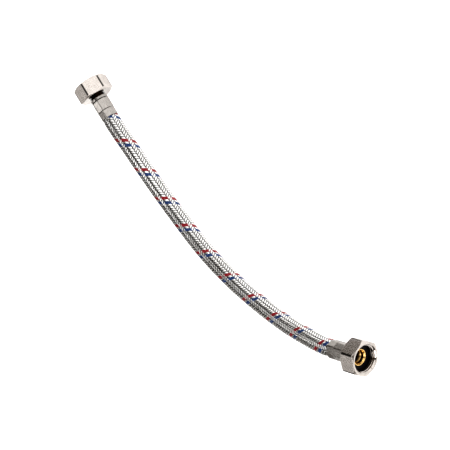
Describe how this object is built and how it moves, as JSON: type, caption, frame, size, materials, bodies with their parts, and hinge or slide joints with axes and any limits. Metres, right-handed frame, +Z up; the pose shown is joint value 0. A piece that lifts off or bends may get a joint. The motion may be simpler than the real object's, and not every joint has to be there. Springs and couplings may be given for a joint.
{
  "type": "braided supply line",
  "caption": "Flexible braided water supply line with a female swivel hex nut, sealing washer, nipple and crimped ferrule at each end.",
  "frame": {"origin": "on the surface the line lies on, under the middle of the box around its two end fittings", "axes": "+X from the end B fitting to the end A fitting, +Y towards the side the hose bows to, +Z up"},
  "size_m": [0.3246, 0.0677, 0.024],
  "materials": {
    "plated_nut": "satin nickel plating",
    "brass_nipple": "turned, bare",
    "ferrule_steel": "bright stainless, crimped",
    "braid_wire": "woven stainless wire with a red and a blue tracer yarn",
    "washer_rubber": "matt black",
    "tube_rubber": "matt black",
    "tracer_red": "dyed nylon yarn",
    "tracer_blue": "dyed nylon yarn"
  },
  "bodies": {
    "hose": {"braid_sleeve": "braid_wire", "inner_tube": "tube_rubber", "nipple_a": "brass_nipple", "nipple_b": "brass_nipple", "ferrule_a": "ferrule_steel", "ferrule_b": "ferrule_steel"},
    "washer_a": {"sealing_washer_a": "washer_rubber"},
    "washer_b": {"sealing_washer_b": "washer_rubber"},
    "nut_a": {"swivel_nut_a": "plated_nut"},
    "nut_b": {"swivel_nut_b": "plated_nut"}
  },
  "joints": [
    {"name": "washer_spin_a", "type": "hinge", "parent": "hose", "child": "washer_a", "pos_m": [0.15825, -0.00355, 0.012], "axis": [0.9397, -0.342, 0], "continuous": true},
    {"name": "nut_slide_a", "type": "slide", "parent": "washer_a", "child": "nut_a", "axis": [-0.9397, 0.342, 0], "range_m": [0, 0.0015]},
    {"name": "washer_spin_b", "type": "hinge", "parent": "hose", "child": "washer_b", "pos_m": [-0.15595, -0.0057, 0.012], "axis": [-0.848, -0.5299, 0], "continuous": true},
    {"name": "nut_slide_b", "type": "slide", "parent": "washer_b", "child": "nut_b", "axis": [0.848, 0.5299, 0], "range_m": [0, 0.0015]}
  ]
}
